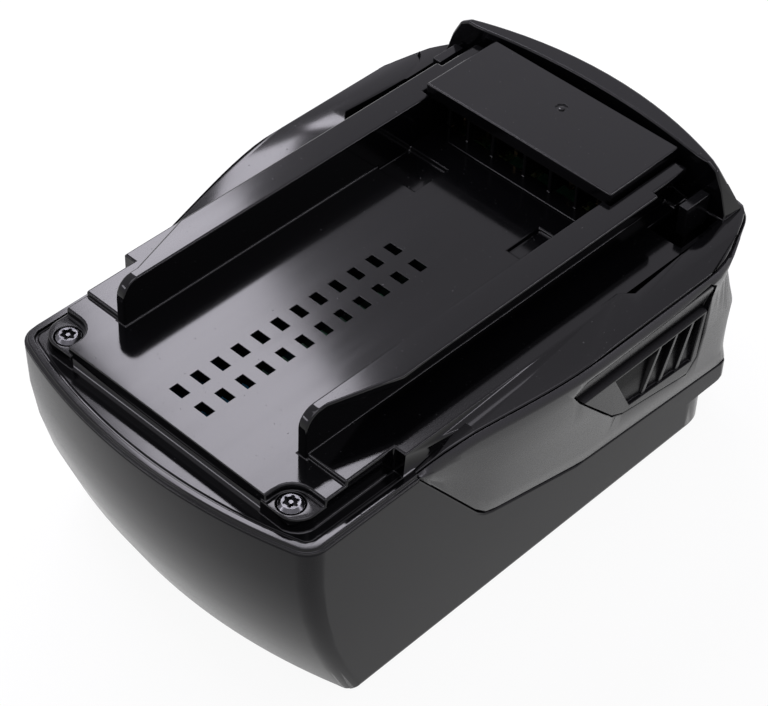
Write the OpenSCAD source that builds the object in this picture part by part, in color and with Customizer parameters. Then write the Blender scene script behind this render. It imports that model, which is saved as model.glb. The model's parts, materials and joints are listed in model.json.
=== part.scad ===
// Slide-on battery pack for hand-held power tools, with side release buttons.
// The origin is the middle of the underside. +Y points to the terminal end and +Z is up.

/* [Body] */
// Length from the front rim to the rear wall
pack_l = 124; // [122:0.5:140]
// Width of the tub at its rim
body_w = 74; // [73.4:0.2:80]
// Width of the tub at its underside
base_w = 73.6; // [72:0.2:74.4]
// Greatest width, across the belt
wing_w = 87; // [85:0.5:94]
// Height of the rim where the cover meets the tub
rim_z = 45.2; // [45.2:0.2:54]
// Wall of the tub
wall = 2.2; // [1.6:0.1:2.4]
// How far the foot of the front wall lies behind the rim
front_lean = 11.8; // [10.4:0.2:12.4]
// Bulge of the front wall between rim and foot
front_bulge = 3.1; // [1:0.1:3.2]
// Radius of the bow of the front rim, seen from above
bow_r = 112; // [90:1:200]
// Radius of the front corners
front_corner = 4.5; // [3.5:0.5:7]
// Radius of the long bottom edges
edge_r = 1.8; // [1:0.2:3]
// Height of the ledge low on the rear wall
step_z = 8; // [5:0.5:10]
// Depth of that ledge
step_in = 2.4; // [0.5:0.1:2.6]

/* [Belt] */
// Wall of the belt
belt_wall = 1.8; // [1.4:0.1:2]
// Thickness of the belt's lip round the wings
lip = 0.9; // [0.6:0.1:1.1]
// Visible seam between the shells
seam = 0.25; // [0.15:0.05:0.4]
// Bevel along the top edge of the belt
belt_bevel = 0.8; // [0.3:0.1:1]

/* [Cover] */
// Height of the deck over the rim
deck_rise = 5.3; // [5.3:0.1:7]
// Thickness of the deck
deck_t = 2.2; // [1.6:0.1:2.4]
// Half width of the deck ahead of the channels
deck_half = 32.6; // [31.5:0.1:33.5]
// Height of the channel floors over the deck
floor_rise = 1; // [0.5:0.1:1.4]
// Half width of the channel floors
floor_half = 35.2; // [34.8:0.1:35.5]
// Thickness of the wings
wing_t = 1.6; // [1.4:0.1:1.8]
// Height of the rear bumper over the deck
bumper_rise = 12.5; // [11:0.5:16]
// Thickness of the bumper at its middle
bumper_t = 4.5; // [3:0.1:5]
// Width of one vent slot
vent_w = 3.2; // [2:0.1:4]
// Length of one vent slot
vent_l = 1.9; // [1:0.1:3]
// Step from one vent slot to the next
vent_pitch = 4.81; // [4:0.01:5]
// Number of vent slots in a row
vent_count = 12; // [4:1:13]
// Distance of each vent row from the middle
vent_row_x = 3.1; // [2.5:0.1:6]

/* [Rails] */
// Clear width between the rails
rail_gap = 43.1; // [42.6:0.1:44]
// Thickness of a rail web
rail_web = 2.1; // [1.6:0.1:2.4]
// Height of the rails over the deck
rail_rise = 9.6; // [9.2:0.1:11]
// Width across the rail flanges
flange_w = 55.5; // [52:0.5:57]
// Thickness of the rail flanges
flange_t = 2; // [1.4:0.1:2.4]
// Radius of the rail noses
nose_r = 3.5; // [1:0.5:5]

/* [Terminal block] */
// Width of the block's top plate
block_w = 45.9; // [45:0.1:46.2]
// Length of the block's top plate
block_l = 19.6; // [18.6:0.1:20.6]
// Height of the block over the deck
block_rise = 11.6; // [10.8:0.1:13]
// Thickness of the top plate
plate_t = 2.9; // [2.2:0.1:3.2]
// Thickness of the fins between the contact slots
fin_t = 0.9; // [0.6:0.1:1.4]

/* [Release] */
// Travel of a release button
travel = 2.5; // [1:0.1:2.5]
// Gap round a release button
button_gap = 0.4; // [0.3:0.05:0.6]
// Wall of a release button
button_wall = 1.2; // [1:0.1:1.3]
// Thickness of the grip ribs
rib_t = 1.1; // [0.8:0.1:1.6]
// Height of the latch tabs over the deck
tab_rise = 6.5; // [4:0.5:7]
// Wire of the latch springs
spring_wire = 0.5; // [0.4:0.05:0.6]
// Mean radius of the latch springs
spring_r = 1.7; // [1.4:0.1:1.7]
// Turns of a latch spring
spring_turns = 5; // [3:1:5]

/* [Core] */
// Diameter of a cell in its sleeve
cell_d = 18.3; // [17.8:0.1:18.3]
// Length of a cell
cell_l = 65; // [62:0.5:65]
// Gap between neighbouring cells
cell_gap = 0.7; // [0.6:0.05:0.7]
// Depth of the cell frames along the cells
frame_depth = 9; // [8:0.5:12]
// Thickness of the bus strips
strip_t = 0.25; // [0.15:0.05:0.3]
// Thickness of the insulating sheets
sheet_t = 0.3; // [0.2:0.05:0.4]
// Thickness of the foam pad under the cells
pad_t = 1; // [0.6:0.1:1]
// Thickness of the circuit board
board_t = 1.6; // [1:0.1:1.6]
// Width of the circuit board
board_w = 52; // [50:1:54]

/* [Screws] */
// Distance between the two cover screws
screw_gap = 56; // [54:0.5:57]
// Radius of the cover screws' heads
screw_head_r = 2.3; // [2:0.1:2.6]
// Radius of the cover screws' shanks
screw_r = 1.5; // [1.2:0.1:1.6]

/* [Hidden] */
$fn = 48;
eps = 0.01;
far = 200;
fit = 0.3;

// Widths of the case, more than the settings only where long cells need it
side_room = 4.5;
foot_room = 3.8;
case_w = max(body_w, cell_l + 2 * side_room);
foot_w = max(base_w, cell_l + 2 * foot_room);

// Stations along the pack
front_y = -pack_l / 2;
rear_y = pack_l / 2;
deck_y0 = front_y + 7.5;
screw_y = front_y + 10.25;
notch_y = front_y + 13.75;
vent_y0 = front_y + 14;
rail_y0 = front_y + 18;
floor_y0 = rail_y0 + 0.5;
floor_y1 = front_y + 30;
wing_y0 = front_y + 32;
groove_y1 = wing_y0 + 37;
crest_y1 = wing_y0 + 54;
curve_y0 = rear_y - 30;
block_y1 = rear_y - 8.2;
block_y0 = block_y1 - block_l;
rail_y1 = rear_y - 9.5;
plate_y0 = rear_y - 11.75;

// Levels
deck_z = rim_z + deck_rise;
floor_z = deck_z + floor_rise;
rail_z = deck_z + rail_rise;
block_z = deck_z + block_rise;
bumper_z = deck_z + bumper_rise;
base_t = 0.7;
ledge_t = 0.4;
bead_t = 1.1;
bead_in = [0.5, 1.9];
groove_in = 2.5;
cavity_z = deck_z - deck_t;

// Rear corners: exponents of the rounded outlines of the tub, its foot and the belt's waist and neck, and
// for the wings and the belt's top the distance in from the side at each distance from the rear
tub_power = 24;
foot_power = 7;
waist_power = 7;
neck_power = 3.5;
waist_at = 0.5;
neck_at = 0.83;
neck_set = 1.2;
wing_corner = [[0, wing_w / 2], [0.1, 22], [0.45, 10.3], [1.05, 7.4], [2.45, 5.8], [4.65, 4.6],
               [8.25, 3.1], [12.25, 1.5], [15.85, 0.4], [18.85, 0]];
belt_corner = [[0, wing_w / 2], [0.1, 23], [0.5, 11.3], [1.5, 8.2], [3.2, 6.6], [5.6, 5.3],
               [9.4, 3.5], [13.4, 1.7], [17, 0.5], [20, 0]];
side_n = 20;
curve_n = 20;
bow_n = 12;
corner_n = 6;
front_n = 5;

// Wings: height of their top along the pack, and the crease beyond which they fall outward
rise_pts = [[wing_y0, rim_z + bead_t], [wing_y0 + 13, rim_z + 3.3], [groove_y1, rim_z + 5.3],
            [crest_y1, rim_z + 6.8], [rear_y + 5, rim_z + 7]];
crease_x = wing_w / 2 - 4.5;
crease_z = rim_z + 6.8;
crease_fall = 0.295;
flare_y0 = wing_y0 - 4;
flare_y1 = wing_y0 + 42;
wing_tip = 0.5;
crest_x0 = wing_half(wing_y0) - lip - seam - wing_tip;
crest_x1 = 34.3;

// Parting line between the belt and the tub, along the pack
part_pts = [[wing_y0, rim_z], [wing_y0 + 16.5, rim_z - 20.8], [wing_y0 + 18.4, rim_z - 22.5],
            [wing_y0 + 20.8, rim_z - 23.5], [wing_y0 + 46, rim_z - 29.7], [rear_y + 5, rim_z - 33.3]];

// Face of the belt behind which the buttons lie
face_z0 = rim_z - 28.7;
face_z1 = rim_z + 3.8;
face_x0 = case_w / 2 + 0.3;
face_x1 = wing_w / 2;

// Release buttons and latches
button_y0 = rear_y - 57.7;
button_y1 = rear_y - 15.2;
grip_top = rim_z - 6.7;
grip_foot = rim_z - 21.7;
grip_deep = 2.4;
grip_shallow = 0.9;
rib_count = 3;
rib_pitch = 4.75;
latch_y0 = rear_y - 25.7;
latch_y1 = rear_y - 9.3;
tab_y0 = rear_y - 16;
latch_x = 30;
latch_t = 2;
latch_z0 = deck_z - 4.3;
latch_z1 = deck_z - 2.1;
latch_end = wing_w / 2 - 4.5;
boss_y1 = button_y1 - 4.6;
pocket_z = deck_z - 1.3;
tab_z = deck_z + tab_rise;
rail_half = rail_gap / 2;
rail_outer = rail_half + rail_web;
seat_x = rail_outer + 0.65;
seat_half = 2.6;
spring_y = rear_y - 22.2;
spring_z = deck_z - 3.5;

// Cell core: the cells are no larger than the case has room for
cell_count = 5;
frame_edge = 0.8;
bore_gap = 0.2;
board_gap = 0.9;
core_room = 29;
board_ceiling = min(rim_z - 0.4, deck_z - 5.7);
stack_room = wall + pad_t + board_gap + board_t + cell_gap + bore_gap + 2 * frame_edge;
fit_d = min(cell_d, (pack_l - core_room) / cell_count - cell_gap, (board_ceiling - stack_room) / 2);
cell_pitch = fit_d + cell_gap;
bore_d = fit_d + bore_gap;
core_x = cell_l / 2;
core_z0 = wall + pad_t;
core_l = (cell_count - 1) * cell_pitch + bore_d + 2 * frame_edge;
core_end = 9.35;
core_y = rear_y - core_end - core_l / 2;
core_h = cell_pitch + bore_d + 2 * frame_edge;
core_z1 = core_z0 + core_h;
strip_half = fit_d * 0.38;
strip_lift = 0.15;
sheet_gap = 0.25;
board_z = core_z1 + board_gap;
board_top = board_z + board_t;
board_y0 = core_y - 35;
board_y1 = rear_y - 10.2;
post_x = board_w / 2 - 1.4;
post_y = [cell_y(0.5), cell_y(3.5)];
post_r = 1.9;
board_screw_r = 0.8;

// Contact slots between the fins of the terminal block
fin_x = [-14.5, -8.1, 0, 6.4, 12.9];
block_half = rail_half - fit;
slot_end = block_half - 1.2;
slot_bounds = concat([-slot_end], fin_x, [slot_end]);
slot_x = [for (i = [0:len(fin_x)]) (slot_bounds[i] + slot_bounds[i + 1]) / 2];
contact_gap = 2;
contact_t = 0.6;
body_y0 = block_y0 + 4.3;
slot_y1 = block_y1 - 3;
plate_z = block_z - plate_t;

// Screws
screw_top = deck_z - 1;
head_h = 2.2;
boss_r = 4.3;
boss_top = deck_z - 1.5;
notch_x = screw_gap / 2 - 3.2;
notch_r = 4;
post_drop = 13.5;
case_post_r = 4.6;
thread_gap = 0.05;
shank_l = 12.5;

// Small functions
function mix(a, b, t) = a + (b - a) * t;
function smooth(t) = let (u = min(1, max(0, t))) u * u * (3 - 2 * u);
function tub_half(z) = mix(foot_w, case_w, z / rim_z) / 2;
function rise(y) = lookup(y, rise_pts);
function part_z(y) = lookup(y, part_pts);
function face_x(z) = mix(face_x0, face_x1, (z - face_z0) / (face_z1 - face_z0));
function edge_z(x, y) = min(rise(y), crease_z - max(0, x - crease_x) * crease_fall);
function crest_x(y) = mix(crest_x0, crest_x1, (y - wing_y0) / (crest_y1 - wing_y0));
function wing_half(y) = (case_w + (wing_w - case_w) * smooth((y - flare_y0) / (flare_y1 - flare_y0))) / 2;
function arc(cx, cy, r, a0, a1, n) = [for (i = [0:n]) let (a = mix(a0, a1, i / n))
    [cx + r * cos(a), cy + r * sin(a)]];

// Adds the mirror image of a half outline that starts and ends on the middle plane or its own edge
function mirrored(half) = concat(half,
    [for (i = [len(half) - 1:-1:0]) if (half[i][0] > eps) [-half[i][0], half[i][1]]]);

// Half of the bowed front, from the middle to the side
function bow_front(half, y, r, corner) = let (
    cx = half - corner,
    cy = y + r - sqrt(pow(r - corner, 2) - cx * cx),
    a = atan2(cy - y - r, cx))
    concat(arc(0, y + r, r, -90, a, bow_n), arc(cx, cy, corner, a, 0, corner_n));

// Halves of a rounded and of a bent rear, from the side to the middle, with points closest at the corner
function rear_step(i) = 1 - pow(1 - i / curve_n, 3);
function rear_curve(a, b, power) = [for (i = [1:curve_n]) let (s = rear_step(i))
    [a * pow(1 - pow(s, power), 1 / power), curve_y0 + b * s]];
function rear_bend(a, b, corner) = [for (i = [1:curve_n]) let (s = rear_step(i))
    [max(curve_n - i, a - lookup(b * (1 - s), corner)), curve_y0 + b * s]];

// Half outlines of the wings, the belt's top and its wall at the fraction t of its height, set in by d
function side_y(i) = mix(wing_y0, curve_y0, i / side_n);
function side_path(d) = [for (i = [0:side_n]) [wing_half(side_y(i)) - d, side_y(i)]];
function wing_top(d) = concat(side_path(d), rear_bend(wing_w / 2 - d, rear_y - curve_y0 - d, wing_corner));
function belt_top(d) = concat(side_path(d), rear_bend(wing_w / 2 - d, rear_y - curve_y0 - d, belt_corner));
function belt_half(y, t) = mix(tub_half(part_z(y)), wing_half(y), t);
function belt_ring(t, power, d) = concat(
    [for (i = [0:side_n]) [belt_half(side_y(i), t) - d, side_y(i)]],
    rear_curve(belt_half(curve_y0, t) - d, rear_y - curve_y0 - neck_set * t - d, power));

// Setback of the front wall behind the rim at the fraction t of the way down
function front_set(t) = front_lean * t - 4 * front_bulge * t * (1 - t);

// Draws children, given as (y, z) outlines, through the width of the pack
module along_x(w = far) rotate([90, 0, 90]) linear_extrude(w, center = true) children();

// Draws children, given as (x, z) outlines, through the length of the pack
module along_y(l = far) rotate([90, 0, 0]) linear_extrude(l, center = true) children();

// A box from its low and high corners
module box(low, high) translate(low) cube(high - low);

// The right-hand shape and its mirror image
module both_sides() {
    children();
    mirror([1, 0, 0]) children();
}

// Leaning prism through the front wall between two fractions of its height, with the given level outline
module raked(t0, t1, outline) {
    lean = atan2(front_set(t1) - front_set(t0), (t1 - t0) * rim_z);
    translate([0, front_y + front_set(t0), rim_z * (1 - t0)]) rotate([lean, 0, 0]) {
        linear_extrude(2 * far, center = true) polygon([for (p = outline) [p[0], p[1] * cos(lean)]]);
    }
}

// Outside of the tub set in by d, up to the height top
module tub_form(d, top) {
    half = case_w / 2 - d;
    rear = rear_y - curve_y0 - d;
    front = mirrored(concat(bow_front(half, d, bow_r - d, front_corner - d), [[half, far], [0, far]]));
    foot_r = max(0.4, edge_r - d);
    section = concat([[0, d]], arc(foot_w / 2 - d - foot_r, d + foot_r, foot_r, -90, 0, corner_n),
                     [[half, rim_z], [half, top], [0, top]]);
    low = concat([[0, -far], [half, -far]], rear_curve(half, rear - step_in, foot_power));
    high = concat([[0, -far], [half, -far]], rear_curve(half, rear, tub_power));
    intersection() {
        union() {
            linear_extrude(step_z + d) polygon(mirrored(low));
            translate([0, 0, step_z + d - eps]) linear_extrude(top) polygon(mirrored(high));
        }
        intersection_for(i = [0:front_n - 1]) {
            raked(i / front_n, (i + 1) / front_n, front);
        }
        along_y() polygon(mirrored(section));
    }
}

// Everything above the parting line that belongs to the belt
module belt_space() {
    top = [[rear_y + 5, rim_z + far], [wing_y0, rim_z + far]];
    along_x() polygon(concat(part_pts, top));
}

// Both cover screws' axes at the height z
module at_screws(z) both_sides() translate([screw_gap / 2, screw_y, z]) children();

module lower_case() color("#3d3c40") difference() {
    union() {
        difference() {
            tub_form(0, rim_z);
            tub_form(wall, rim_z + 1);
        }
        intersection() {
            tub_form(wall / 2, rim_z);
            at_screws(rim_z - post_drop) cylinder(r = case_post_r, h = post_drop);
        }
    }
    belt_space();
    at_screws(rim_z - post_drop + 1) cylinder(r = screw_r + thread_gap, h = far);
}

// Sections of the belt along its U-shaped path, each from the bevel round to the inner wall
function belt_sections() = let (
    bevel = belt_top(belt_bevel), outer = belt_top(0), top_in = belt_top(belt_wall),
    neck = belt_ring(neck_at, neck_power, 0), neck_in = belt_ring(neck_at, neck_power, belt_wall),
    waist = belt_ring(waist_at, waist_power, 0),
    foot = belt_ring(0, tub_power, 0), foot_in = belt_ring(0, tub_power, belt_wall), last = len(outer) - 1,
    half = [for (k = [0:last]) let (
        zt = edge_z(outer[k][0], outer[k][1]) - 0.2,
        zb = part_z(foot[k][1]) + seam,
        edge = min(1.4, 0.3 * (zt - zb)),
        h = zt - edge - zb,
        crease = min(3.2, 0.3 * h))
        [point(bevel[k], zt), point(outer[k], zb + h), point(neck[k], zb + neck_at * h),
         point(waist[k], zb + waist_at * h),
         point(mix(foot[k], waist[k], crease / (waist_at * h)) - 0.3 * [sign(foot[k][0]), 0], zb + crease),
         point(foot[k], zb), point(foot_in[k], zb), point(neck_in[k], zb + neck_at * h),
         point(top_in[k], zt)]])
    concat(half, [for (k = [last - 1:-1:0]) [for (p = half[k]) [-p[0], p[1], p[2]]]]);
function point(p, z) = [p[0], p[1], z];

// A solid through a row of sections with equal numbers of points
module swept(sections) {
    n = len(sections[0]);
    last = len(sections) - 1;
    sides = [for (k = [0:last - 1], j = [0:n - 1]) let (a = k * n + j, b = k * n + (j + 1) % n)
             each [[a, b, b + n], [a, b + n, a + n]]];
    caps = [[for (j = [n - 1:-1:0]) j], [for (j = [0:n - 1]) last * n + j]];
    polyhedron([for (s = sections) each s], concat(sides, caps), convexity = 6);
}

// Outline of a release button grown by d, in the plane of the pack's side
module button_outline(d) {
    top_z = rim_z + 3.8 + d;
    foot_z = rim_z - 25.9 - d;
    polygon([[button_y0 - d, rim_z - 0.3], [button_y0 + 2.2 - d / 2, rim_z + 2.1 + d],
             [button_y1 - 6.2, top_z], [button_y1 - 4.2 + d, top_z - 2],
             [button_y1 + d, rim_z - 21.7], [button_y1 - 1.4 + d / 2, foot_z],
             [button_y0 + 20.6, rim_z - 21.6 - d], [button_y0 + 17.2 - d / 2, rim_z - 19.6 - d],
             [button_y0 + 2.8 - d, rim_z - 4.1]]);
}

// Plan of the wall along the inner edge of the right wing, grown by d
module wing_wall(d) {
    x0 = crest_x(wing_y0);
    x1 = crest_x(groove_y1);
    t = 1.5;
    polygon([[x0 - d, wing_y0 - d], [x1 - d, groove_y1 + d],
             [x1 + t + d, groove_y1 + d], [x0 + t + d, wing_y0 - d]]);
}

// Space under and inside the wings, where the belt's lip steps back
module wing_rabbet() {
    under = [for (p = rise_pts) [p[0], p[1] - wing_t - seam]];
    ahead = wing_y0 - 1;
    intersection() {
        linear_extrude(far) polygon(mirrored(concat([[wing_half(wing_y0) - lip, ahead]], wing_top(lip))));
        union() {
            along_x() polygon(concat([[ahead, under[0][1]]], under, [[rear_y + 5, far], [ahead, far]]));
            both_sides() translate([0, 0, rim_z - seam]) linear_extrude(far) wing_wall(seam);
        }
    }
}

module side_belt() color("#444348") difference() {
    swept(belt_sections());
    wing_rabbet();
    both_sides() translate([far / 2 + latch_x, 0, 0]) along_x() button_outline(button_gap);
}

// Plan of the raised deck, with a notch round each cover screw
module deck_plan() {
    polygon(mirrored(concat([[0, deck_y0], [notch_x, deck_y0]],
        arc(notch_x + notch_r, notch_y - notch_r, notch_r, 180, 90, corner_n),
        [[deck_half, notch_y], [deck_half, block_y1 + 1], [0, block_y1 + 1]])));
}

// Plan of the lowered corner of the deck that a cover screw sits in
module boss_plan() {
    y = deck_y0 - 0.4;
    polygon(concat([[notch_x - 1, notch_y + 1], [notch_x - 1, y]],
        arc(deck_half - boss_r, y + boss_r, boss_r, -90, 0, corner_n), [[deck_half, notch_y + 1]]));
}

// Plan of the right channel floor
module floor_plan() {
    polygon([[rail_half, floor_y0], [deck_half, floor_y0], [deck_half, floor_y1],
             [floor_half, floor_y1], [floor_half, rail_y1], [rail_half, rail_y1]]);
}

// Outline of the front rim set in by d, up to the station y
module rim_plan(d, y) {
    front = bow_front(case_w / 2 - d, front_y + d, bow_r - d, front_corner - d);
    polygon(mirrored(concat(front, [[case_w / 2 - d, y], [0, y]])));
}

// Base plate round the deck, with a bead and a groove along its rim
module base_plate() {
    side = [[0, wing_y0 - 1], [crest_x(wing_y0), wing_y0 - 1], [crest_x(wing_y0), wing_y0],
            [crest_x(groove_y1) + 1.5, groove_y1], [0, groove_y1]];
    translate([0, 0, rim_z]) {
        linear_extrude(ledge_t) rim_plan(0, wing_y0);
        linear_extrude(bead_t) difference() {
            rim_plan(bead_in[0], wing_y0);
            rim_plan(bead_in[1], far);
        }
        linear_extrude(base_t) {
            rim_plan(groove_in, wing_y0);
            polygon(mirrored(side));
        }
    }
}

// Both wings and the plate that joins them behind the terminal block
module wings() {
    under = [for (i = [len(rise_pts) - 1:-1:0]) rise_pts[i] - [0, wing_t]];
    inner = [[0, front_y], [crest_x(wing_y0), wing_y0], [crest_x1, crest_y1], [crest_x1 + 2, crest_y1 + 2],
             [crest_x1 + 1, plate_y0], [rail_outer, plate_y0], [rail_outer, block_y1 + fit],
             [0, block_y1 + fit]];
    fall = (wing_w / 2 - crease_x) * crease_fall;
    intersection() {
        linear_extrude(far) polygon(mirrored(wing_top(lip + seam)));
        along_y() polygon(mirrored([[0, 0], [wing_w / 2, 0], [wing_w / 2, crease_z - fall],
                                    [crease_x, crease_z], [0, crease_z + 1]]));
        union() {
            difference() {
                along_x() polygon(concat(rise_pts, under));
                linear_extrude(far) polygon(mirrored(inner));
            }
            intersection() {
                along_x() polygon(concat(rise_pts, [[rear_y + 5, rim_z], [wing_y0, rim_z]]));
                both_sides() linear_extrude(far) wing_wall(0);
            }
        }
    }
}

// Crescent wall at the rear: its crest is bowed, its foot follows the wings and its ends slope down
module bumper() {
    crest_r = 80;
    inner_r = 136;
    apex = rear_y - lip - seam - 0.1;
    end_x = 35.5;
    n = 14;
    foot = crease_z - wing_t + 0.3;
    slope = [[end_x - 5, bumper_z], [end_x - 3.6, bumper_z - 1], [end_x - 2.2, bumper_z - 3.4],
             [end_x, floor_z + 1]];
    wing_edge = wing_w / 2 - lip - seam;
    set_back = [for (p = wing_corner) [p[1], p[0]]];
    half = [for (i = [0:n]) let (
        x = end_x * sin(90 * i / n),
        top = lookup(x, slope),
        back = apex - lookup(wing_edge - x, set_back),
        crest = apex - crest_r + sqrt(crest_r * crest_r - x * x),
        brow = mix(crest, back, (bumper_z - top) / (bumper_z - foot)),
        inner = max(latch_y1 + 0.8, apex - bumper_t - inner_r + sqrt(inner_r * inner_r - x * x)))
        [[x, inner, foot], [x, inner, top], [x, max(brow, inner + 0.6), top], [x, back, foot]]];
    swept(concat([for (i = [n:-1:1]) [for (p = half[i]) [-p[0], p[1], p[2]]]], half));
}

// Right rail: a web with a flange that widens from the nose
module rail() {
    flare = [[rail_half, rail_y0], [rail_outer - 0.7, rail_y0], [rail_outer - 0.7, rail_y0 + 2.5],
             [flange_w / 2, rail_y0 + 19], [flange_w / 2, rail_y1], [rail_half, rail_y1]];
    nose = concat([[rail_y0, cavity_z]], [[rail_y1, cavity_z], [rail_y1, rail_z]],
                  arc(rail_y0 + nose_r, rail_z - nose_r, nose_r, 90, 180, corner_n));
    intersection() {
        along_x() polygon(nose);
        union() {
            box([rail_half, rail_y0, cavity_z], [rail_outer, rail_y1, rail_z]);
            translate([0, 0, rail_z - flange_t]) linear_extrude(flange_t) polygon(flare);
        }
    }
}

// Space under the deck, open below
module cover_cavity() {
    t = 2;
    wide = floor_half + 1;
    plan = [[0, deck_y0 + t], [notch_x - t, deck_y0 + t], [notch_x - t, notch_y + t],
            [deck_half - t, notch_y + t], [deck_half - t, floor_y1 + t], [floor_half - t, floor_y1 + t],
            [floor_half - t, groove_y1], [wide, groove_y1], [wide, plate_y0 - 2], [0, plate_y0 - 2]];
    translate([0, 0, rim_z - 1]) linear_extrude(cavity_z - rim_z + 1) polygon(mirrored(plan));
    both_sides() box([rail_outer + 0.3, latch_y0 - 1.5, rim_z], [wide, latch_y1 + 0.6, pocket_z]);
}

module cover_shell() difference() {
    union() {
        base_plate();
        translate([0, 0, rim_z]) linear_extrude(deck_z - rim_z) deck_plan();
        both_sides() translate([0, 0, rim_z]) linear_extrude(floor_z - rim_z) floor_plan();
        both_sides() translate([0, 0, rim_z]) linear_extrude(boss_top - rim_z) boss_plan();
    }
    cover_cavity();
}

module top_cover() color("#19191b") difference() {
    union() {
        cover_shell();
        wings();
        bumper();
        both_sides() rail();
        // Seats of the latch springs
        both_sides() box([rail_outer - 1.1, spring_y - seat_half, board_top + fit],
                         [seat_x, spring_y + seat_half, deck_z - 1]);
    }
    for (x = [-vent_row_x, vent_row_x], i = [0:vent_count - 1]) {
        translate([x, vent_y0 + i * vent_pitch, deck_z]) cube([vent_w, vent_l, far / 2], center = true);
    }
    // Shallow recesses ahead of the terminal block
    both_sides() box([11.7, block_y0 - 14.4, deck_z - 0.8], [rail_half, block_y0 - 5.5, deck_z + 1]);
    // Opening under the terminal block
    box([-slot_end, body_y0 + 0.6, rim_z], [slot_end, slot_y1, deck_z + 1]);
    // Notches in the rails for the block's top plate
    both_sides() box([rail_half - 1, block_y0 - fit, plate_z - fit],
                     [block_w / 2 + fit + 0.1, block_y1 + fit, far]);
    // Pockets that the latch tabs travel in
    both_sides() box([latch_x - travel - 1, tab_y0 - 3.5, rim_z + 1],
                     [latch_x + latch_t + 2.4, latch_y1 + 0.4, far]);
    // Screw holes and head seats
    at_screws(0) cylinder(r = screw_r + 0.2, h = far);
    at_screws(screw_top - head_h) cylinder(r = screw_head_r + fit, h = far);
}

module terminal_block() color("#1c1c1e") {
    difference() {
        union() {
            box([-block_w / 2, block_y0, plate_z], [block_w / 2, block_y1, block_z]);
            box([-block_half, body_y0, deck_z], [block_half, block_y1 - 0.8, plate_z]);
            box([-block_half + 4, block_y0 + 0.3, deck_z], [block_half - 4, body_y0, deck_z + 0.5]);
            for (x = fin_x) {
                box([x - fin_t / 2, body_y0 - 1.4, deck_z], [x + fin_t / 2, body_y0 + 1, plate_z]);
            }
        }
        difference() {
            box([-slot_end, body_y0 - eps, deck_z - 1], [slot_end, slot_y1, plate_z]);
            for (x = fin_x) {
                box([x - fin_t / 2, body_y0 - 1, deck_z - 2], [x + fin_t / 2, slot_y1 + 1, far]);
            }
        }
        // Mould mark on the top plate
        translate([0, block_y0 + 12.9, block_z - 0.3]) difference() {
            cylinder(r = 1.25, h = 1);
            cylinder(r = 0.6, h = 0.25);
        }
    }
}

module front_screws() color("#b9b9b6") at_screws(screw_top) {
    drive_r = screw_head_r * 0.5;
    bevel = 0.6;
    difference() {
        union() {
            translate([0, 0, -bevel]) cylinder(r1 = screw_head_r, r2 = screw_head_r - bevel, h = bevel);
            translate([0, 0, -head_h]) cylinder(r = screw_head_r, h = head_h - bevel + eps);
            translate([0, 0, -head_h - shank_l]) cylinder(r = screw_r, h = shank_l + eps);
        }
        difference() {
            translate([0, 0, -1.3]) linear_extrude(2) {
                circle(drive_r);
                for (a = [0:60:300]) rotate(a) translate([drive_r, 0]) circle(drive_r * 0.3);
            }
            translate([0, 0, -2]) cylinder(r = drive_r * 0.35, h = 1.9);
        }
    }
}

// Outside of a button as (x, z) points: a hollow band on top, a ledge and a face that follows the belt
button_depths = [[4.2, 0], [3, 0.1], [-4.9, 1.9], [-6.1, 0.6], [-24.7, 0.1], [-27.7, 0.1]];
function button_face(d) = [for (p = button_depths) [face_x(rim_z + p[0]) - p[1] - d, rim_z + p[0]]];

// Section of a button's wall
module button_section() {
    inner = button_face(button_wall);
    polygon(concat(button_face(0), [for (i = [len(inner) - 1:-1:0]) inner[i]]));
}

// Point behind the belt's face, at the top or the foot of the finger recess
function grip_point(z, depth) = [face_x(z) - depth, z];

// Recess that the fingers reach into, deepest under the ledge
module grip_recess() {
    intersection() {
        along_y() polygon([grip_point(grip_top, grip_deep), grip_point(grip_foot, grip_shallow),
                           [far, grip_foot], [far, grip_top]]);
        along_x() polygon([[button_y0 + 13.5, grip_top], [button_y1 - 3.4, grip_top],
                           [button_y1 - 1.6, grip_foot], [button_y0 + 22, grip_foot + 1.6]]);
    }
}

// Wall behind the recess
module grip_backing() {
    over = grip_top + 1;
    along_y() polygon([grip_point(over, grip_deep + 0.6), grip_point(over, 1),
                       grip_point(grip_top, grip_deep), grip_point(grip_foot, grip_shallow),
                       grip_point(grip_foot, grip_shallow + button_wall * 0.9),
                       grip_point(grip_top, grip_deep + button_wall)]);
}

// Thin upright ribs across the recess
module grip_ribs() {
    root = 0.5;
    for (i = [0:rib_count - 1]) {
        y = button_y1 - 16.1 + rib_pitch * i;
        lean = 0.5 * i - 0.6;
        intersection() {
            along_y() polygon([grip_point(grip_top, 0.9), grip_point(grip_top, grip_deep + root),
                               grip_point(grip_foot, grip_shallow + root), grip_point(grip_foot, 0.5)]);
            along_x() polygon([[y, grip_top], [y + rib_t, grip_top],
                               [y + rib_t + lean, grip_foot], [y + lean, grip_foot]]);
        }
    }
}

module release_button() {
    intersection() {
        translate([far / 2, 0, 0]) along_x() button_outline(0);
        union() {
            difference() {
                along_y() button_section();
                grip_recess();
            }
            grip_backing();
        }
    }
    grip_ribs();
    // Boss that carries the latch
    box([latch_end, latch_y0 + 1, latch_z0 - 0.4], [face_x(latch_z0) - 1, boss_y1, latch_z1 - 0.9]);
}

// Latch: a plate under the channel floor, a tab that stands in the channel and a flange for the spring
module latch() {
    box([latch_x, latch_y0, latch_z0], [latch_end, boss_y1, latch_z1]);
    box([latch_x, latch_y0, latch_z0], [latch_x + latch_t, latch_y1, latch_z1]);
    box([latch_x, tab_y0, latch_z0], [latch_x + latch_t, latch_y1, tab_z]);
    box([latch_x, latch_y0, board_top + fit], [latch_x + 1.5, latch_y0 + 7, pocket_z - fit]);
}

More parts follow.
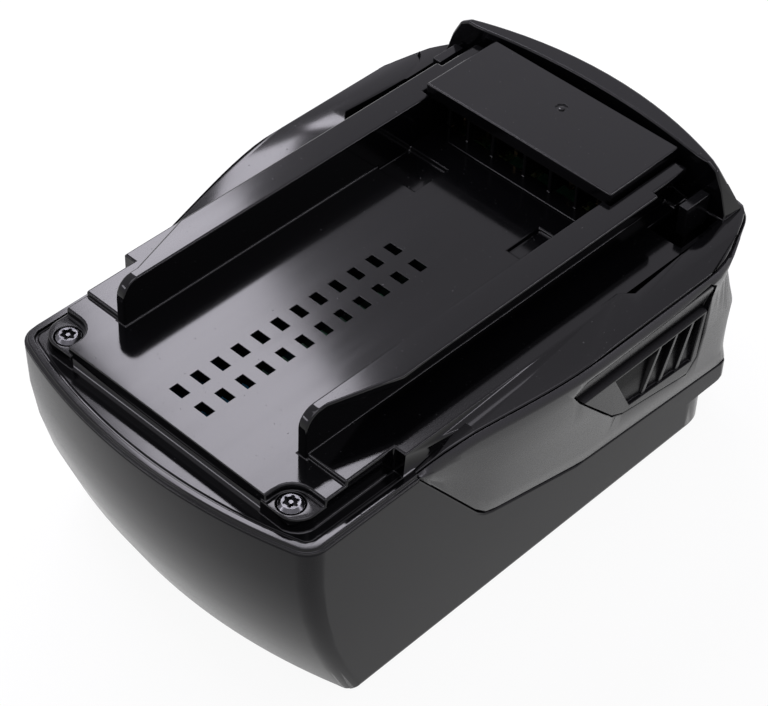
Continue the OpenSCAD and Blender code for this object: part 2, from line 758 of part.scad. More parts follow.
// Helical spring between its seat under the rail and the latch
module latch_spring() {
    start = seat_x + 0.1;
    length = latch_x - 0.1 - start - spring_wire;
    rings = spring_turns * 8;
    path = [for (i = [0:rings]) let (a = 360 * spring_turns * i / rings)
            [start + spring_wire / 2 + length * i / rings,
             spring_y + spring_r * cos(a), spring_z + spring_r * sin(a), a]];
    swept([for (p = path) [for (j = [0:5]) let (b = 60 * j, r = spring_wire / 2)
           [p[0] + r * cos(b), p[1] + r * sin(b) * cos(p[3]), p[2] + r * sin(b) * sin(p[3])]]]);
}

// Middle of a cell: column counts from the front, layer from the bottom
function cell_y(column) = core_y + (column - (cell_count - 1) / 2) * cell_pitch;
function cell_z(layer) = core_z0 + frame_edge + bore_d / 2 + layer * cell_pitch;

// Cells lie across the pack, and the columns alternate end for end
module cell(index) {
    column = index % cell_count;
    layer = floor(index / cell_count);
    way = column % 2 == 0 ? 1 : -1;
    pole_h = 1;
    color("#2f6f8f") translate([0, cell_y(column), cell_z(layer)]) rotate([0, 90 * way, 0]) {
        translate([0, 0, -cell_l / 2]) cylinder(d = fit_d, h = cell_l - pole_h);
        translate([0, 0, cell_l / 2 - pole_h - eps]) cylinder(d = 8, h = pole_h + eps);
    }
}

// Plate with a bore for each cell end and a post for each board screw
module cell_frame() {
    r = bore_d / 2 + frame_edge - 0.6;
    y0 = core_y - core_l / 2;
    y1 = y0 + core_l;
    top_r = 2;
    outline = concat(arc(y0 + r, core_z0 + r, r, 180, 270, corner_n),
                     arc(y1 - r, core_z0 + r, r, 270, 360, corner_n),
                     arc(y1 - top_r, core_z1 - top_r, top_r, 0, 90, corner_n),
                     arc(y0 + top_r, core_z1 - top_r, top_r, 90, 180, corner_n));
    difference() {
        union() {
            translate([core_x - frame_depth / 2, 0, 0]) along_x(frame_depth) polygon(outline);
            for (y = post_y) {
                translate([post_x, y, core_z1 - frame_edge]) {
                    cylinder(r = post_r, h = board_gap + frame_edge);
                }
                box([post_x, y - post_r, core_z1 - frame_edge], [core_x - 2, y + post_r, core_z1]);
            }
        }
        for (column = [0:cell_count - 1], layer = [0:1]) {
            translate([0, cell_y(column), cell_z(layer)]) rotate([0, 90, 0]) cylinder(d = bore_d, h = far);
        }
        for (y = post_y) {
            translate([post_x, y, board_z - 3.5]) cylinder(r = board_screw_r + thread_gap, h = 4);
        }
    }
}

// Strip over the ends of one or two columns of cells, with a tab that runs over the frame to the board
module bus_strip(first, last, side) {
    x = core_x;
    y0 = cell_y(first) - strip_half;
    y1 = cell_y(last) + strip_half;
    tab_y = cell_y(first) - 3;
    tab_w = 6;
    over = core_z1 + strip_lift;
    color("#c9c6ba") mirror([side < 0 ? 1 : 0, 0, 0]) {
        box([x, y0, cell_z(0) - strip_half], [x + strip_t, y1, cell_z(1) + strip_half]);
        box([x, tab_y, cell_z(1)], [x + strip_t, tab_y + tab_w, over + strip_t]);
        box([board_w / 2 - 3, tab_y, over], [x + strip_t, tab_y + tab_w, over + strip_t]);
    }
}

module insulating_sheet() {
    x = core_x + strip_t + sheet_gap;
    box([x, core_y - core_l / 2 + 3, core_z0 + 2], [x + sheet_t, core_y + core_l / 2 - 3, core_z1 - 2]);
}

module foam_pad() color("#55565a") {
    box([-core_x + 1, core_y - core_l / 2 + 9, wall], [core_x - 1, core_y + core_l / 2 - 9, core_z0]);
}

module circuit_board() color("#1f5a38") difference() {
    box([-board_w / 2, board_y0, board_z], [board_w / 2, board_y1, board_top]);
    both_sides() for (y = post_y) translate([post_x, y, 0]) cylinder(r = board_screw_r + 0.1, h = far);
}

module board_screws() color("#b9b9b6") both_sides() for (y = post_y) translate([post_x, y, 0]) {
    translate([0, 0, board_z - 3]) cylinder(r = board_screw_r, h = board_t + 3 + eps);
    translate([0, 0, board_top]) cylinder(r = board_screw_r * 1.7, h = 1);
}

module power_transistors() color("#202022") for (i = [-1.5:1.5]) {
    translate([12 * i, board_y0 + 14, board_top + 0.75]) cube([6.2, 5.2, 1.5], center = true);
}

module control_chip() color("#232326") {
    translate([0, board_y0 + 38, board_top + 0.6]) cube([9, 9, 1.2], center = true);
}

module current_shunt() color("#8d8f93") {
    translate([-16, board_y0 + 30, board_top + 0.5]) cube([3.2, 6.4, 1], center = true);
}

// Bead under the board that touches a cell
module thermistor() color("#6b4a2c") {
    r = (board_z - cell_z(1) - fit_d / 2 - 0.1) / 2;
    translate([-2.5, cell_y(2), board_z - 0.05 - r]) rotate([0, 90, 0]) cylinder(r = r, h = 5);
}

// Fork of two leaves on a foot that stands on the board
module contact(x) {
    y0 = body_y0 + 2.6;
    y1 = slot_y1 - 1;
    half = contact_gap / 2 + contact_t;
    translate([x, 0, 0]) {
        box([-half, y0 + 3, board_top], [half, y1, board_top + 0.8]);
        both_sides() box([contact_gap / 2, y0 + 3, board_top], [half, y1, deck_z]);
        both_sides() box([contact_gap / 2, y0, deck_z - eps], [half, y1, plate_z - 1.5]);
    }
}

lower_case();
side_belt();
top_cover();
terminal_block();
front_screws();
color("#3a393d") release_button();  // release_button_right
color("#3a393d") mirror([1, 0, 0]) release_button();  // release_button_left
color("#2b2b2d") latch();  // latch_right
color("#2b2b2d") mirror([1, 0, 0]) latch();  // latch_left
color("#b4b4b0") latch_spring();  // latch_spring_right
color("#b4b4b0") mirror([1, 0, 0]) latch_spring();  // latch_spring_left
cell(0);  // cell_1
cell(1);  // cell_2
cell(2);  // cell_3
cell(3);  // cell_4
cell(4);  // cell_5
cell(5);  // cell_6
cell(6);  // cell_7
cell(7);  // cell_8
cell(8);  // cell_9
cell(9);  // cell_10
color("#26262a") cell_frame();  // cell_frame_right
color("#26262a") mirror([1, 0, 0]) cell_frame();  // cell_frame_left
bus_strip(0, 0, -1);  // bus_strip_1
bus_strip(0, 1, 1);  // bus_strip_2
bus_strip(1, 2, -1);  // bus_strip_3
bus_strip(2, 3, 1);  // bus_strip_4
bus_strip(3, 4, -1);  // bus_strip_5
bus_strip(4, 4, 1);  // bus_strip_6
color("#4a4a3c") insulating_sheet();  // insulating_sheet_right
color("#4a4a3c") mirror([1, 0, 0]) insulating_sheet();  // insulating_sheet_left
foam_pad();
circuit_board();
power_transistors();
control_chip();
current_shunt();
thermistor();
board_screws();
color("#c9b98a") contact(slot_x[0]);  // negative_contact
color("#c9b98a") for (i = [1, 2, 4]) contact(slot_x[i]);  // signal_contacts
color("#c9b98a") contact(slot_x[5]);  // positive_contact
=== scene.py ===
import json
import math

import bmesh
import bpy
from mathutils import Matrix, Vector
from mathutils.bvhtree import BVHTree

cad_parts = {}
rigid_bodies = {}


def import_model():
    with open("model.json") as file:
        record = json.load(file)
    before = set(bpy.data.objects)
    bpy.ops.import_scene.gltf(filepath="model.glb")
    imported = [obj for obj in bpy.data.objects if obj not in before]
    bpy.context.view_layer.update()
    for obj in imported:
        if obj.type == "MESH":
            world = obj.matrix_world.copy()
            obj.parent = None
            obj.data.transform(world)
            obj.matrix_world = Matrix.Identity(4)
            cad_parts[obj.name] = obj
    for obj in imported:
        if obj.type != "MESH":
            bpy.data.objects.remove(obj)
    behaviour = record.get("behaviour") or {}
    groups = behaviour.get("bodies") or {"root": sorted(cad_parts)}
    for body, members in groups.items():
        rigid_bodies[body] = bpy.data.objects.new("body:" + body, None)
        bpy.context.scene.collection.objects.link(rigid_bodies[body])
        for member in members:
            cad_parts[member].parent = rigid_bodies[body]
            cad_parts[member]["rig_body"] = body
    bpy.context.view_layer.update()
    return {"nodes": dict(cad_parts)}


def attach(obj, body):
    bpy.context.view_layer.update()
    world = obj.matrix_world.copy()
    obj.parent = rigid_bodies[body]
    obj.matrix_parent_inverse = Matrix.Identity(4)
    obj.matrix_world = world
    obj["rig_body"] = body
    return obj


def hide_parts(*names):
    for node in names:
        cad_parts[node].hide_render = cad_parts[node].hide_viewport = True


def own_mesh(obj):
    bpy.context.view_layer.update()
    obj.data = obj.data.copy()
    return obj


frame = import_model()
nodes = frame["nodes"]

MM = 0.001
scene = bpy.context.scene
scene.view_settings.view_transform = "Standard"

# The sloping side of the pack: its half width is FACE_FOOT + FACE_SLOPE * height
FACE_SLOPE, FACE_FOOT = 0.1908, 0.03415
# Depth behind that side at which the painted shade on a release button begins, and is darkest
HOLLOW_FROM, HOLLOW_FULL = 0.8 * MM, 1.7 * MM

# The values that a noise mostly lies between
NOISE_SPAN = (0.3, 0.7)
WEAVE_SPAN = (0.4, 0.6)
# Cosine of the turn at which a surface begins to count as an edge, and counts in full
EDGE_FROM, EDGE_FULL = 0.99, 0.8
EDGE_SAMPLES = 4


class Tree:
    """The nodes of a material or world, with short calls for those used here."""

    def __init__(self, owner):
        owner.use_nodes = True
        self.owner = owner
        self.nodes = owner.node_tree.nodes
        self.links = owner.node_tree.links

    def link(self, out, socket):
        self.links.new(out, socket)

    def parts(self, vector):
        """The X, Y and Z of a vector."""
        node = self.nodes.new("ShaderNodeSeparateXYZ")
        self.link(vector, node.inputs["Vector"])
        return node.outputs

    def ramp(self, fac, low, high, to_low=0.0, to_high=1.0):
        node = self.nodes.new("ShaderNodeMapRange")
        node.clamp = True
        limits = {"From Min": low, "From Max": high, "To Min": to_low, "To Max": to_high}
        for key, value in limits.items():
            node.inputs[key].default_value = value
        self.link(fac, node.inputs["Value"])
        return node.outputs["Result"]

    def math(self, op, a, b):
        node = self.nodes.new("ShaderNodeMath")
        node.operation = op
        for i, value in enumerate((a, b)):
            if isinstance(value, (int, float)):
                node.inputs[i].default_value = value
            else:
                self.link(value, node.inputs[i])
        return node.outputs["Value"]

    def mix(self, fac, a, b):
        node = self.nodes.new("ShaderNodeMix")
        node.data_type = "RGBA"
        for name, value in (("A", a), ("B", b)):
            socket = [s for s in node.inputs if s.name == name and s.type == "RGBA"][0]
            if isinstance(value, tuple):
                socket.default_value = (*value, 1)
            else:
                self.link(value, socket)
        self.link(fac, node.inputs["Factor"])
        return [s for s in node.outputs if s.type == "RGBA"][0]

    def showing(self):
        """1 for the rays that show the background, straight or mirrored, else 0."""
        path = self.nodes.new("ShaderNodeLightPath").outputs
        mirrored = self.math("MAXIMUM", path["Is Glossy Ray"], path["Is Transmission Ray"])
        return self.math("MAXIMUM", path["Is Camera Ray"], mirrored)


class Surface(Tree):
    """The nodes of a new material on the object's own coordinates."""

    def __init__(self, name):
        super().__init__(bpy.data.materials.new(name))
        self.shader = self.nodes["Principled BSDF"]
        self.coords = self.nodes.new("ShaderNodeTexCoord").outputs["Object"]

    def scaled(self, scale, turn=(0, 0, 0)):
        """Object coordinates, stretched and turned."""
        node = self.nodes.new("ShaderNodeMapping")
        node.inputs["Scale"].default_value = scale
        node.inputs["Rotation"].default_value = turn
        self.link(self.coords, node.inputs["Vector"])
        return node.outputs["Vector"]

    def noise(self, scale, detail=3, rough=0.5, vector=None):
        node = self.nodes.new("ShaderNodeTexNoise")
        node.inputs["Scale"].default_value = scale
        node.inputs["Detail"].default_value = detail
        node.inputs["Roughness"].default_value = rough
        self.link(vector or self.coords, node.inputs["Vector"])
        return node.outputs["Fac"]

    def bump(self, height, depth, strength=1.0):
        node = self.nodes.new("ShaderNodeBump")
        node.inputs["Strength"].default_value = strength
        node.inputs["Distance"].default_value = depth
        self.link(height, node.inputs["Height"])
        return node.outputs["Normal"]

    def edges(self, radius):
        """1 where the surface turns within the radius, else 0."""
        bevel = self.nodes.new("ShaderNodeBevel")
        bevel.samples = EDGE_SAMPLES
        bevel.inputs["Radius"].default_value = radius
        geometry = self.nodes.new("ShaderNodeNewGeometry")
        dot = self.nodes.new("ShaderNodeVectorMath")
        dot.operation = "DOT_PRODUCT"
        self.link(bevel.outputs["Normal"], dot.inputs[0])
        self.link(geometry.outputs["Normal"], dot.inputs[1])
        return self.ramp(dot.outputs["Value"], EDGE_FROM, EDGE_FULL)

    def set(self, **values):
        """Sets or links the shader's sockets and gives the material."""
        for key, value in values.items():
            socket = self.shader.inputs[key.replace("_", " ")]
            if isinstance(value, (int, float)):
                socket.default_value = value
            else:
                self.link(value, socket)
        return self.owner


def shade(colour, factor):
    return tuple(c * factor for c in colour)


def behind_face(t):
    """From 0 to 1, how deep a point of a release button lies behind the side of the pack."""
    at = t.parts(t.coords)
    face = t.math("ADD", t.math("MULTIPLY", at["Z"], FACE_SLOPE), FACE_FOOT)
    depth = t.math("SUBTRACT", face, t.math("ABSOLUTE", at["X"], 0.0))
    return t.ramp(depth, HOLLOW_FROM, HOLLOW_FULL)


def satin(name, colour, rough, grain=0.03 * MM, pitch=2600, hollow=None, shine=0.5):
    """Moulded plastic with a spark-eroded grain, smoother on its edges and lighter there in
    patches as wear and painted highlight, with painted shade and weaker reflections in its
    hollows.
    """
    t = Surface(name)
    cloud = t.noise(38, detail=4, rough=0.6)
    fine = t.noise(pitch, detail=2, rough=0.55)
    smear = t.noise(14, vector=t.scaled((1.0, 0.3, 1.6)))
    # Edges lighter in patches, partly as wear and partly as a painted highlight
    edge_wear_and_sheen = t.math("MULTIPLY", t.edges(0.7 * MM), t.ramp(t.noise(160, detail=4), 0.35, 0.7))
    tone = t.mix(t.ramp(cloud, *NOISE_SPAN), shade(colour, 0.9), shade(colour, 1.1))
    tone = t.mix(t.ramp(fine, 0.35, 0.65, to_high=0.35), tone, shade(colour, 0.7))
    tone = t.mix(t.math("MULTIPLY", edge_wear_and_sheen, 0.45), tone, shade(colour, 1.9))
    dull = t.math("ADD", t.ramp(smear, *NOISE_SPAN, rough - 0.05, rough + 0.05),
                  t.ramp(fine, *NOISE_SPAN, -0.03, 0.03))
    dull = t.math("SUBTRACT", dull, t.math("MULTIPLY", edge_wear_and_sheen, 0.06))
    gloss = shine
    if hollow:
        # Painted shade: the button is darker and reflects less the deeper it lies behind the side
        # of the pack
        hollow_shade = hollow(t)
        tone = t.mix(hollow_shade, tone, shade(colour, 0.35))
        gloss = t.ramp(hollow_shade, 0.0, 1.0, shine, 0.2 * shine)
    return t.set(Base_Color=tone, Roughness=dull, Normal=t.bump(fine, grain), IOR=1.5,
                 Specular_IOR_Level=gloss)


def polished(name, colour, rough, shine=0.5):
    """Polished plastic: slight moulding waviness, wiping marks, a trace of dust and a painted
    highlight along its edges.
    """
    t = Surface(name)
    dust = (0.09, 0.09, 0.09)
    wave = t.noise(26, detail=2, rough=0.4)
    wipe = t.noise(120, detail=4, rough=0.6, vector=t.scaled((1.0, 0.06, 1.0), (0, 0, 0.5)))
    speck = t.ramp(t.noise(1900, detail=1, rough=0.4), 0.74, 0.8)
    # Painted highlight: the colour is lighter on the edges
    edge = t.edges(0.4 * MM)
    tone = t.mix(t.math("MULTIPLY", edge, 0.3), colour, shade(colour, 2.6))
    tone = t.mix(t.math("MULTIPLY", speck, 0.12), tone, dust)
    dull = t.math("ADD", t.ramp(wipe, 0.35, 0.75, rough - 0.02, rough + 0.03),
                  t.math("MULTIPLY", speck, 0.2))
    return t.set(Base_Color=tone, Roughness=dull, Normal=t.bump(wave, 0.04 * MM, strength=0.5),
                 IOR=1.52, Specular_IOR_Level=shine)


def metal(name, colour, rough, lay=(1.0, 1.0, 0.05), pitch=900):
    """Plated or rolled metal with fine lines along its working direction."""
    t = Surface(name)
    line = t.noise(pitch, rough=0.6, vector=t.scaled(lay))
    tint = t.noise(220)
    tone = t.mix(t.ramp(tint, *NOISE_SPAN), shade(colour, 0.82), shade(colour, 1.08))
    dull = t.ramp(line, *NOISE_SPAN, rough - 0.06, rough + 0.1)
    return t.set(Base_Color=tone, Roughness=dull, Normal=t.bump(line, 0.01 * MM, strength=0.6),
                 Metallic=1.0)


def laminate(name, colour, pitch=1500):
    """Circuit board with a woven core showing faintly through its lacquer."""
    t = Surface(name)
    weft = t.noise(pitch, detail=1, rough=0.4, vector=t.scaled((1.0, 0.15, 1.0)))
    warp = t.noise(pitch, detail=1, rough=0.4, vector=t.scaled((0.15, 1.0, 1.0)))
    weave = t.math("ADD", t.math("MULTIPLY", weft, 0.5), t.math("MULTIPLY", warp, 0.5))
    tone = t.mix(t.ramp(weave, *WEAVE_SPAN), shade(colour, 0.75), shade(colour, 1.2))
    return t.set(Base_Color=tone, Roughness=t.ramp(weave, *WEAVE_SPAN, 0.3, 0.42),
                 Normal=t.bump(weave, 0.02 * MM, strength=0.6))


CASE_BLACK = (0.0075, 0.0073, 0.008)
BELT_BLACK = (0.011, 0.0107, 0.0118)
SMOOTH = 0.01 * MM
MATERIALS = {
    "case_plastic": satin("case_satin", CASE_BLACK, 0.2, 0.012 * MM, shine=0.12),
    "belt_plastic": satin("belt_satin", BELT_BLACK, 0.27, SMOOTH, shine=0.32),
    "button_plastic": satin("button_satin", CASE_BLACK, 0.27, SMOOTH, hollow=behind_face,
                            shine=0.1),
    "latch_plastic": polished("latch_polished", (0.0022, 0.0022, 0.0025), 0.12, shine=0.24),
    "frame_plastic": satin("frame_moulded", (0.022, 0.022, 0.025), 0.5),
    "cover_plastic": polished("cover_polished", (0.001, 0.001, 0.0012), 0.1, shine=0.24),
    "block_plastic": polished("block_polished", (0.0012, 0.0012, 0.0014), 0.1, shine=0.28),
    "screw_steel": metal("screw_black_zinc", (0.1, 0.1, 0.105), 0.24),
    "spring_steel": metal("spring_wire", (0.5, 0.5, 0.49), 0.3),
    "cell_sleeve": polished("cell_shrink_sleeve", (0.03, 0.16, 0.27), 0.28),
    "strip_nickel": metal("strip_rolled_nickel", (0.6, 0.58, 0.53), 0.32, lay=(1.0, 0.06, 1.0)),
    "sheet_fibre": satin("sheet_pressed_fibre", (0.07, 0.07, 0.05), 0.75, 0.05 * MM, pitch=1400),
    "pad_foam": satin("pad_closed_foam", (0.09, 0.09, 0.1), 0.85, 0.15 * MM, pitch=900),
    "board_laminate": laminate("board_laminate", (0.02, 0.09, 0.045)),
    "chip_epoxy": satin("chip_epoxy", (0.018, 0.018, 0.019), 0.55, 0.02 * MM, pitch=3000),
    "shunt_metal": metal("shunt_alloy", (0.45, 0.42, 0.4), 0.35),
    "thermistor_bead": polished("thermistor_bead", (0.16, 0.08, 0.035), 0.3),
    "contact_metal": metal("contact_plated", (0.72, 0.55, 0.3), 0.22, lay=(0.1, 1.0, 1.0)),
}

# Edges of the moulded pieces: the widest rounding by the vent slots, and the least worth making
VENT_EDGE, LEAST_EDGE = 0.08 * MM, 0.02 * MM
# Share of a face's width that a rounding may take, from its side edges and from those across
SHARE_BESIDE, SHARE_ACROSS = 0.42, 0.45
# A side edge that leaves at a flatter angle than this sine doesn't limit the rounding
LEAST_SINE = 0.5
# Points closer than WELD are one, and edges and faces below these sizes are ignored
WELD, SLIVER, POINT_LIKE, LEAST_AREA = 2e-6, 1e-6, 1e-7, 1e-10
# A rounding is spoiled where it strays by this share of its width, or where a face turns over
STRAY_SHARE, TURNED_OVER = 0.55, -0.3
# Edges within these distances of a spoiled place stay sharp, widened until none is left
CLEARED = (0.4 * MM, 0.8 * MM, 1.5 * MM, 2.5 * MM, 4 * MM)
SEGMENTS = 2
CREASE = math.radians(38)
FLAT_WEIGHT = 80
# Place of the vent slots in the cover, and of the front tips of the belt
VENTS_HALF_WIDTH, VENTS_FRONT, VENTS_REAR, VENTS_TOP = 6.5 * MM, -0.052, 0.012, 0.0512
TIP_REAR, TIP_FOOT = -0.022, 0.042


def edge_gap(point, a, b):
    """Distance of a point from the edge between a and b."""
    span = b - a
    length = span.length_squared
    t = max(0.0, min(1.0, (point - a).dot(span) / length)) if length > 0 else 0.0
    return (a.lerp(b, t) - point).length


def edge_room(edge):
    """How wide a rounding the faces on both sides of an edge leave room for."""
    room = math.inf
    a, b = edge.verts
    middle = (a.co + b.co) / 2
    along = (b.co - a.co).normalized()
    for other in (e for face in edge.link_faces for e in face.edges if e is not edge):
        shared = [v for v in other.verts if v in edge.verts]
        if shared:
            away = other.other_vert(shared[0]).co - shared[0].co
            sine = away.normalized().cross(along).length
            if sine > LEAST_SINE:
                room = min(room, SHARE_BESIDE * away.length * sine)
        elif other.calc_length() >= POINT_LIKE:
            p, q = other.verts
            for point in (a.co, middle, b.co):
                room = min(room, SHARE_ACROSS * edge_gap(point, p.co, q.co))
    return room


def in_vents(point):
    """Whether a point of the cover lies by the vent slots, whose edges stay crisp."""
    return (abs(point.x) < VENTS_HALF_WIDTH and VENTS_FRONT < point.y < VENTS_REAR
            and point.z < VENTS_TOP)


def in_tip(point):
    """Whether a point of the belt lies in its thin front tips, which are too small to round."""
    return point.y < TIP_REAR and point.z > TIP_FOOT


def edge_weights(bm, node, width, sharp):
    """Share of the full rounding that each sharp edge has room for."""
    weight = bm.edges.layers.float.new("bevel_weight_edge")
    for edge in bm.edges:
        if len(edge.link_faces) == 2 and edge.calc_face_angle(0) > math.radians(sharp):
            room = edge_room(edge)
            middle = (edge.verts[0].co + edge.verts[1].co) / 2
            if node == "top_cover" and in_vents(middle):
                room = min(room, VENT_EDGE)
            if node == "side_belt" and in_tip(middle):
                room = 0.0
            if room > LEAST_EDGE:
                edge[weight] = min(1.0, room / width)


def spoiled(piece, tree, width):
    """Points where the rounding folds over or leaves the surface it belongs to."""
    graph = bpy.context.evaluated_depsgraph_get()
    shape = piece.evaluated_get(graph)
    mesh = shape.to_mesh()
    points = []
    for vert in mesh.vertices:
        if tree.find_nearest(vert.co)[3] > STRAY_SHARE * width:
            points.append(vert.co.copy())
    for face in mesh.polygons:
        if face.area > LEAST_AREA:
            normal = tree.find_nearest(face.center)[1]
            if face.normal.dot(normal) < TURNED_OVER:
                points.append(face.center.copy())
    shape.to_mesh_clear()
    return points


def keep_sharp(mesh, points, reach):
    """Takes the rounding from the edges that pass within reach of the points."""
    weights = mesh.attributes["bevel_weight_edge"].data
    for edge in mesh.edges:
        if weights[edge.index].value > 0:
            a, b = (mesh.vertices[i].co for i in edge.vertices)
            if any(edge_gap(point, a, b) < reach for point in points):
                weights[edge.index].value = 0.0
    mesh.update()


def rounded(node, width, sharp=28, flat=0.5, weigh=True):
    """A copy of a CAD node's mesh with its sharp edges rounded, which stands for the node.

    Edges over sharp degrees are rounded, and faces that meet within flat degrees are joined first.
    """
    mesh = nodes[node].data.copy()
    bm = bmesh.new()
    bm.from_mesh(mesh)
    bmesh.ops.remove_doubles(bm, verts=bm.verts, dist=WELD)
    bmesh.ops.dissolve_degenerate(bm, dist=SLIVER, edges=bm.edges)
    bmesh.ops.dissolve_limit(bm, angle_limit=math.radians(flat), verts=bm.verts, edges=bm.edges)
    for face in bm.faces:
        face.smooth = True
    edge_weights(bm, node, width, sharp)
    tree = BVHTree.FromBMesh(bm)
    bm.to_mesh(mesh)
    bm.free()
    piece = bpy.data.objects.new(node + "_moulded", mesh)
    scene.collection.objects.link(piece)
    bevel = piece.modifiers.new("rounding", "BEVEL")
    bevel.width = width
    bevel.segments = SEGMENTS
    bevel.limit_method = "WEIGHT"
    bevel.use_clamp_overlap = False
    bevel.harden_normals = False
    bevel.miter_outer = "MITER_SHARP"
    for reach in CLEARED:
        points = spoiled(piece, tree, width)
        if not points:
            break
        keep_sharp(mesh, points, reach)
    graph = bpy.context.evaluated_depsgraph_get()
    piece.data = bpy.data.meshes.new_from_object(piece.evaluated_get(graph))
    piece.data.set_sharp_from_angle(angle=CREASE)
    piece.modifiers.remove(bevel)
    if weigh:
        normal = piece.modifiers.new("flat_faces", "WEIGHTED_NORMAL")
        normal.keep_sharp = True
        normal.weight = FLAT_WEIGHT
    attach(piece, nodes[node]["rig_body"])
    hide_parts(node)
    return piece


SLOT_OF = {
    "lower_case": "case_plastic", "side_belt": "belt_plastic", "top_cover": "cover_plastic",
    "terminal_block": "block_plastic", "front_screws": "screw_steel",
    "release_button_right": "button_plastic", "release_button_left": "button_plastic",
    "latch_right": "latch_plastic", "latch_left": "latch_plastic",
    "latch_spring_right": "spring_steel", "latch_spring_left": "spring_steel",
    "cell_frame_right": "frame_plastic", "cell_frame_left": "frame_plastic",
    "insulating_sheet_right": "sheet_fibre", "insulating_sheet_left": "sheet_fibre",
    "foam_pad": "pad_foam", "circuit_board": "board_laminate", "power_transistors": "chip_epoxy",
    "control_chip": "chip_epoxy", "current_shunt": "shunt_metal", "thermistor": "thermistor_bead",
    "board_screws": "screw_steel", "negative_contact": "contact_metal",
    "signal_contacts": "contact_metal", "positive_contact": "contact_metal",
}
SLOT_OF.update({f"cell_{i}": "cell_sleeve" for i in range(1, 11)})
SLOT_OF.update({f"bus_strip_{i}": "strip_nickel" for i in range(1, 7)})

ROUNDED = {
    "lower_case": {"width": 0.5 * MM},
    "side_belt": {"width": 0.35 * MM, "flat": 0.05, "weigh": False},
    "top_cover": {"width": 0.45 * MM, "sharp": 24},
    "terminal_block": {"width": 0.4 * MM},
    "release_button_right": {"width": 0.35 * MM},
    "release_button_left": {"width": 0.35 * MM},
    "latch_right": {"width": 0.15 * MM},
    "latch_left": {"width": 0.15 * MM},
}

for name, slot in SLOT_OF.items():
    piece = rounded(name, **ROUNDED[name]) if name in ROUNDED else nodes[name]
    piece.data.materials.clear()
    piece.data.materials.append(MATERIALS[slot])

# Each latch spring is drawn by its own copy of the spring's mesh, which rides on the spring's body
for side, sign in (("right", 1), ("left", -1)):
    node = "latch_spring_" + side
    coil = bpy.data.objects.new(node + "_coil", nodes[node].data.copy())
    scene.collection.objects.link(coil)
    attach(coil, nodes[node]["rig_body"])
    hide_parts(node)
    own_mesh(coil)

WHITE = (1, 1, 1)
# The studio light is a little cool
COOL = (0.97, 0.94, 1.04)
# Strength of the light by the height of its direction: at the horizon, straight up and between
SKY = [(0.0, 0.95), (1.0, 0.25), (0.65, 0.55), (0.8, 0.3)]
FLOOR_HALF, FLOOR_Z = 4, -0.2 * MM
# Share of the floor's white that is there for the camera and in reflections alone
FLOOR_GLOW = 0.93
# The paper's tone is painted light and shade: grey to the right and front, white to the left and
# rear
PAPER_PAINTED_SHADE, PAPER_PAINTED_LIGHT = (0.26, 0.26, 0.26), (0.95, 0.95, 0.95)
# Where the paper's painted shade ends and its full painted light begins, along PAPER_SLANT * y - x
PAPER_SLANT, PAPER_PAINTED_SHADE_AT, PAPER_PAINTED_LIGHT_AT = 0.8, -0.2, 0.12


def floor_material():
    """Paper that shows white. Its colour is painted light and shade, from white on the left to
    grey, so the light it gives back goes from bright on the left to grey.
    """
    t = Surface("floor_paper")
    at = t.parts(t.coords)
    leftward = t.math("SUBTRACT", t.math("MULTIPLY", at["Y"], PAPER_SLANT), at["X"])
    tone = t.mix(t.ramp(leftward, PAPER_PAINTED_SHADE_AT, PAPER_PAINTED_LIGHT_AT), PAPER_PAINTED_SHADE, PAPER_PAINTED_LIGHT)
    t.set(Base_Color=tone, Roughness=0.9)
    glow = t.nodes.new("ShaderNodeEmission")
    glow.inputs["Color"].default_value = (*WHITE, 1)
    mix = t.nodes.new("ShaderNodeMixShader")
    t.link(t.math("MULTIPLY", t.showing(), FLOOR_GLOW), mix.inputs["Fac"])
    t.link(t.shader.outputs["BSDF"], mix.inputs[1])
    t.link(glow.outputs["Emission"], mix.inputs[2])
    t.link(mix.outputs["Shader"], t.nodes["Material Output"].inputs["Surface"])
    return t.owner


def studio_world():
    """A white background, with soft light that is brightest at the horizon."""
    t = Tree(bpy.data.worlds.new("studio"))
    back = t.nodes["Background"]
    direction = t.nodes.new("ShaderNodeTexCoord").outputs["Generated"]
    sky = t.nodes.new("ShaderNodeValToRGB")
    stops = sky.color_ramp.elements
    for i, (at, level) in enumerate(SKY):
        stop = stops[i] if i < len(stops) else stops.new(at)
        stop.position = at
        stop.color = (level, level, level, 1)
    t.link(t.parts(direction)["Z"], sky.inputs["Fac"])
    t.link(t.math("MAXIMUM", sky.outputs["Color"], t.showing()), back.inputs["Strength"])
    seen = t.nodes.new("ShaderNodeLightPath").outputs["Is Camera Ray"]
    t.link(t.mix(seen, COOL, WHITE), back.inputs["Color"])
    return t.owner


def softbox(name, centre, target, size, radiance):
    """A rectangular lamp with the given radiance, aimed at the target."""
    data = bpy.data.lights.new(name, "AREA")
    data.shape = "RECTANGLE"
    data.size, data.size_y = size
    data.energy = math.pi * size[0] * size[1] * radiance
    data.color = COOL
    lamp = bpy.data.objects.new(name, data)
    lamp.location = centre
    lamp.rotation_euler = (Vector(target) - Vector(centre)).to_track_quat("-Z", "Y").to_euler()
    lamp.visible_camera = False
    scene.collection.objects.link(lamp)
    return lamp


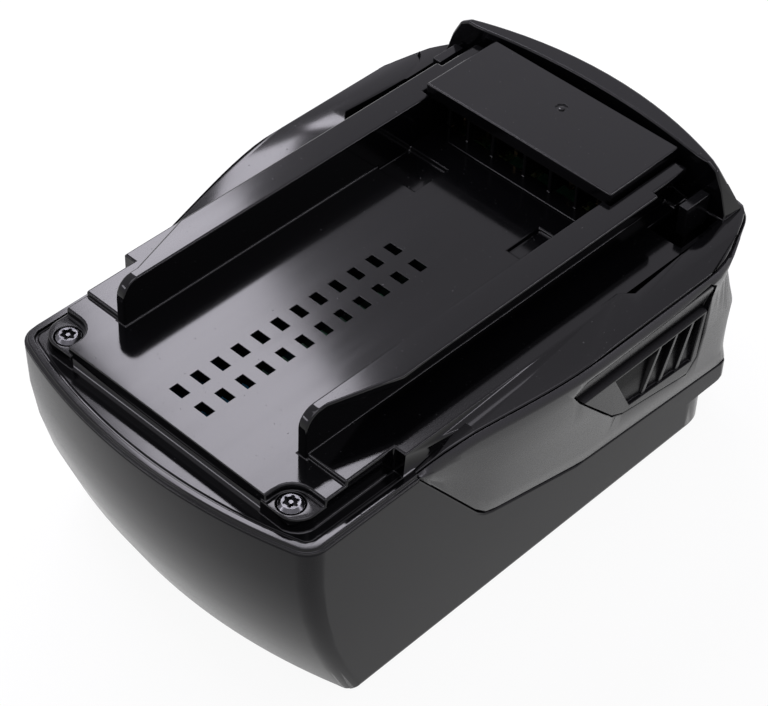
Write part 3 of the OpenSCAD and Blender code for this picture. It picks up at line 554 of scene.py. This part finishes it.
floor_mesh = bpy.data.meshes.new("floor")
corners = [(x * FLOOR_HALF, y * FLOOR_HALF, 0) for x, y in ((-1, -1), (1, -1), (1, 1), (-1, 1))]
floor_mesh.from_pydata(corners, [], [(0, 1, 2, 3)])
floor = bpy.data.objects.new("floor", floor_mesh)
floor.location.z = FLOOR_Z
floor_mesh.materials.append(floor_material())
scene.collection.objects.link(floor)

scene.world = studio_world()

# The strip makes the bright band across the deck and the rails
strip = softbox("strip_softbox", (-0.492, 0.386, 0.65), (-0.492, 0.386, 0), (0.32, 0.112), 12.5)
strip.rotation_euler = (0, 0, math.radians(-21.8))
softbox("top_softbox", (0.15, -0.1, 1.1), (0.0, 0.0, 0.0), (1.0, 1.0), 2.8)
# Two rim lights draw the lines along the edges: one behind to the right, one in front to the left
PACK_MIDDLE = (0.0, 0.0, 0.03)
softbox("rim_right", (0.88, 0.64, 0.5), PACK_MIDDLE, (0.35, 0.13), 10.0)
softbox("rim_front", (-0.58, -0.92, 0.5), PACK_MIDDLE, (0.35, 0.15), 8.0)
# A lamp over the floor on the left, whose light the paper gives back to the front
floor_lamp = softbox("floor_lamp", (-0.26, 0.0, 0.3), (-0.26, 0.0, 0.0), (0.3, 0.2), 9.0)
floor_lamp.visible_glossy = False

# The camera as fitted to the photo
AZIMUTH, ELEVATION, ROLL = (math.radians(v) for v in (42.32, 43.77, 2.4))
CAMERA_AT = (221.34 * MM, -242.85 * MM, 344.27 * MM)
FOCAL_PX, FRAME_W, SENSOR_W = 2426.9, 768, 36
right = Vector((math.cos(AZIMUTH), math.sin(AZIMUTH), 0))
behind = Vector((math.sin(AZIMUTH) * math.cos(ELEVATION),
                 -math.cos(AZIMUTH) * math.cos(ELEVATION), math.sin(ELEVATION)))
over = behind.cross(right)
axis_x = right * math.cos(ROLL) + over * math.sin(ROLL)
axis_y = over * math.cos(ROLL) - right * math.sin(ROLL)
camera_data = bpy.data.cameras.new("camera")
camera_data.sensor_width = SENSOR_W
camera_data.lens = FOCAL_PX * SENSOR_W / FRAME_W
camera_data.clip_start = 10 * MM
camera = bpy.data.objects.new("camera", camera_data)
camera.matrix_world = Matrix((*zip(axis_x, axis_y, behind, CAMERA_AT), (0, 0, 0, 1)))
scene.collection.objects.link(camera)
scene.camera = camera
